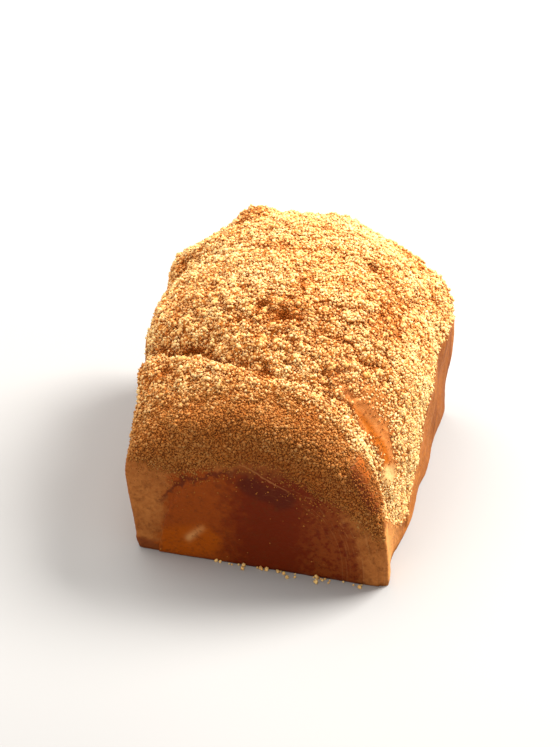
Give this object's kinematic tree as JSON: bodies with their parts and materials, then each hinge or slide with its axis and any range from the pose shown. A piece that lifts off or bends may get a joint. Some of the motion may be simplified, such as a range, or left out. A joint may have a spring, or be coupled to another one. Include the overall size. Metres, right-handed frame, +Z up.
{
  "type": "sandwich loaf",
  "caption": "Tin-baked sweet bread loaf with flat walls, a domed top in soft coils and a baked crumble topping.",
  "frame": {"origin": "under the middle of the loaf's box, on the surface that it stands on", "axes": "+Z up, +Y along the loaf from its low near end to its far end, +X to the right seen from the near end"},
  "size_m": [0.1142, 0.1432, 0.0919],
  "materials": {
    "loaf": "golden brown baked crust with a matt crumble topping"
  },
  "bodies": {
    "root": {"loaf": "loaf"}
  },
  "joints": []
}
